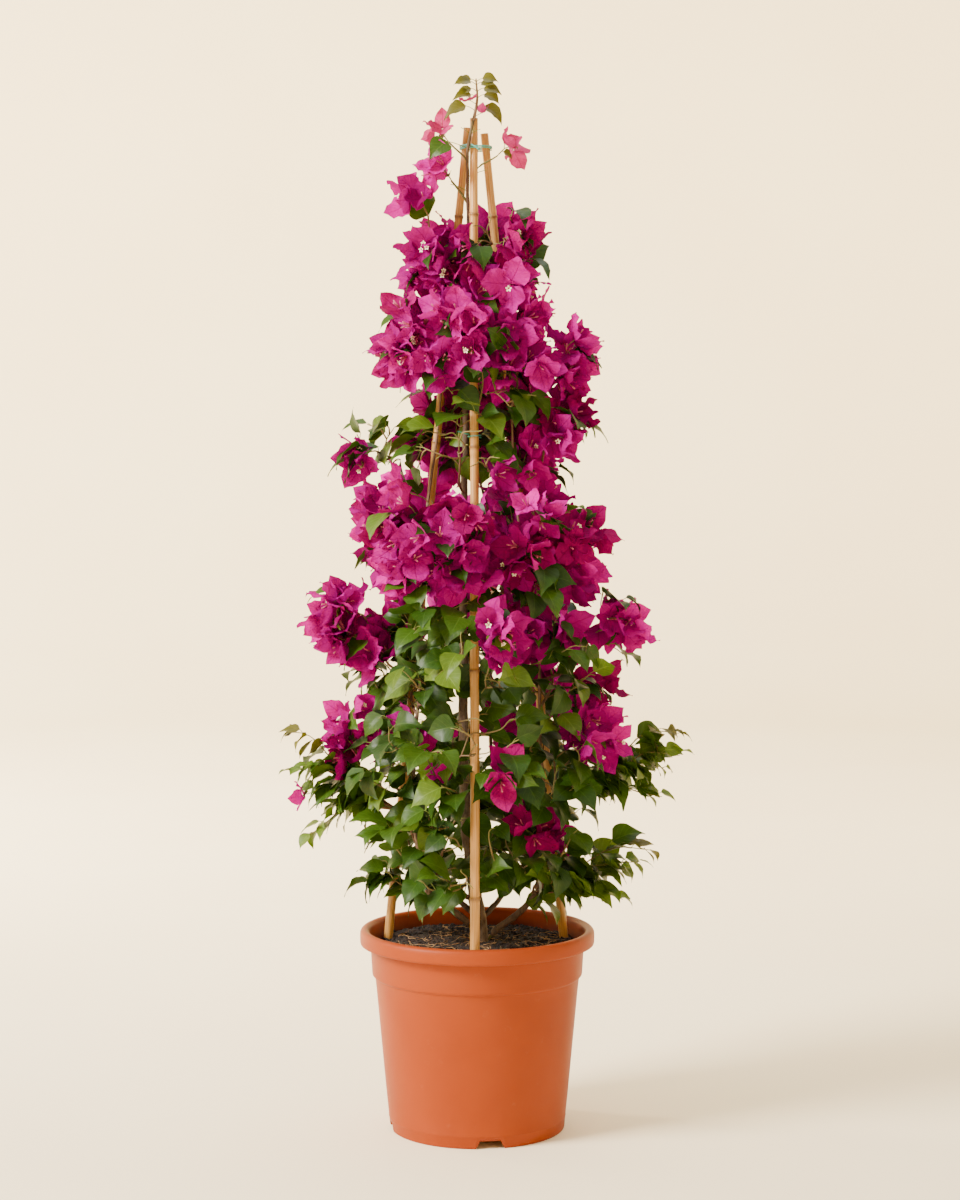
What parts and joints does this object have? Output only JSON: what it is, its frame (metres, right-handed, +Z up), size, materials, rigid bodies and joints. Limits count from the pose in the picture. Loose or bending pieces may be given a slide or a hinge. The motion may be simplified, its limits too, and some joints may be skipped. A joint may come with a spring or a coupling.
{
  "type": "potted bougainvillea",
  "caption": "Bougainvillea grown as a slim cone on a tripod of bamboo canes in a round plastic pot, covered with magenta bracts above and green leaves below.",
  "frame": {"origin": "middle of the pot's flat underside, on the pot's axis", "axes": "+Z up along the pot's axis, the plant's longest extent; +X to the plant's right and -Y out of its front, where one cane stands against the rim"},
  "size_m": [0.5065, 0.4319, 1.3324],
  "materials": {
    "pot": "matte",
    "compost": "rough",
    "cane": "satin",
    "tie": "satin",
    "bark": "rough",
    "leaves": "satin",
    "blossom": "matte"
  },
  "bodies": {
    "root": {"blossom_belt_1": "blossom", "blossom_belt_2": "blossom", "blossom_belt_3": "blossom", "blossom_belt_4": "blossom", "blossom_crest_1": "blossom", "blossom_crest_2": "blossom", "blossom_crest_3": "blossom", "blossom_crest_left": "blossom", "blossom_hip_4": "blossom", "blossom_hip_left": "blossom", "blossom_hip_right": "blossom", "blossom_neck_2": "blossom", "blossom_neck_left": "blossom", "blossom_neck_right": "blossom", "blossom_shoulder_1": "blossom", "blossom_shoulder_2": "blossom", "blossom_shoulder_3": "blossom", "blossom_shoulder_right": "blossom", "blossom_top_left": "blossom", "blossom_top_left_high": "blossom", "blossom_top_right": "blossom", "blossom_waist_1": "blossom", "blossom_waist_3": "blossom", "bough_back_left": "bark", "bough_back_right": "bark", "bough_front_left": "bark", "bough_front_right": "bark", "bough_left": "bark", "bough_right": "bark", "bough_top_left": "bark", "bough_top_left_high": "bark", "bough_top_right": "bark", "cane_front": "cane", "cane_left": "cane", "cane_right": "cane", "compost": "compost", "leaves_hip_1": "leaves", "leaves_hip_2": "leaves", "leaves_hip_3": "leaves", "leaves_neck_1": "leaves", "leaves_neck_3": "leaves", "leaves_shoot_back": "leaves", "leaves_shoot_left": "leaves", "leaves_shoot_low_right": "leaves", "leaves_shoot_right": "leaves", "leaves_skirt_1": "leaves", "leaves_skirt_2": "leaves", "leaves_skirt_3": "leaves", "leaves_skirt_4": "leaves", "leaves_tip": "leaves", "leaves_waist_2": "leaves", "leaves_waist_4": "leaves", "leaves_waist_5": "leaves", "pot": "pot", "tie_middle": "tie", "tie_top": "tie", "trunk": "bark"}
  },
  "joints": []
}
